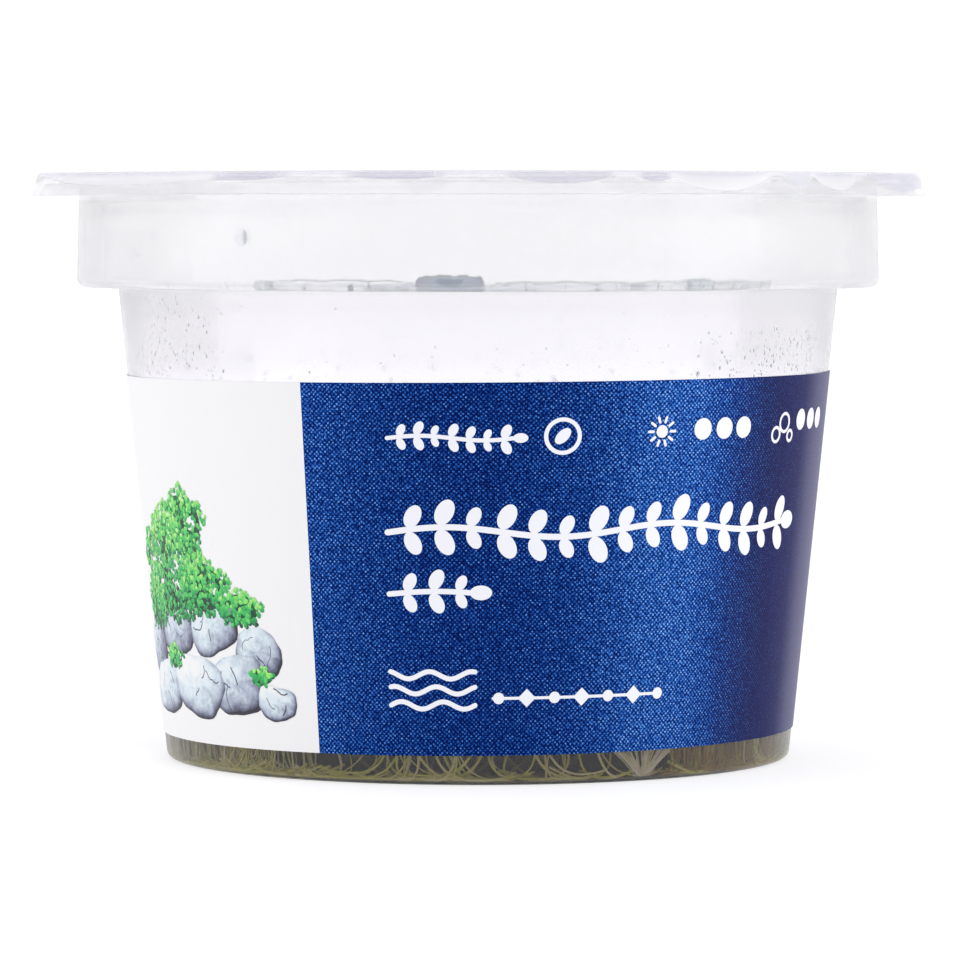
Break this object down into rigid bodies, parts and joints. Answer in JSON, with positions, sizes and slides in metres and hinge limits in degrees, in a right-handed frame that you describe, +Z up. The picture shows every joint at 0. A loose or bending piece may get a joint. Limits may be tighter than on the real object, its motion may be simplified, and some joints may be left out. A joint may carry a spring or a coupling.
{
  "type": "tissue culture cup of dwarf baby tears",
  "caption": "Sealed clear culture cup with a wrap label, holding a carpet of small round-leaved aquarium plantlets in nutrient gel.",
  "frame": {"origin": "middle of the cup's underside", "axes": "+Z up the cup's axis to the film, -Y towards the front of the label, +X to the right of the front"},
  "size_m": [0.096, 0.096, 0.0625],
  "materials": {
    "clear_polypropylene": "moulded see-through polypropylene, faintly milky",
    "peel_film": "thin clear heat-sealed film, slightly wrinkled",
    "printed_label": "satin printed film, dark blue and white",
    "gel": "clear gel, tinted olive by roots and stems",
    "foliage": "soft fresh green leaves"
  },
  "bodies": {
    "root": {"cup": "clear_polypropylene", "film_lid": "peel_film", "label": "printed_label", "nutrient_gel": "gel", "plantlet_1": "foliage", "plantlet_2": "foliage", "plantlet_3": "foliage", "plantlet_4": "foliage", "plantlet_5": "foliage", "plantlet_6": "foliage", "plantlet_7": "foliage"}
  },
  "joints": []
}
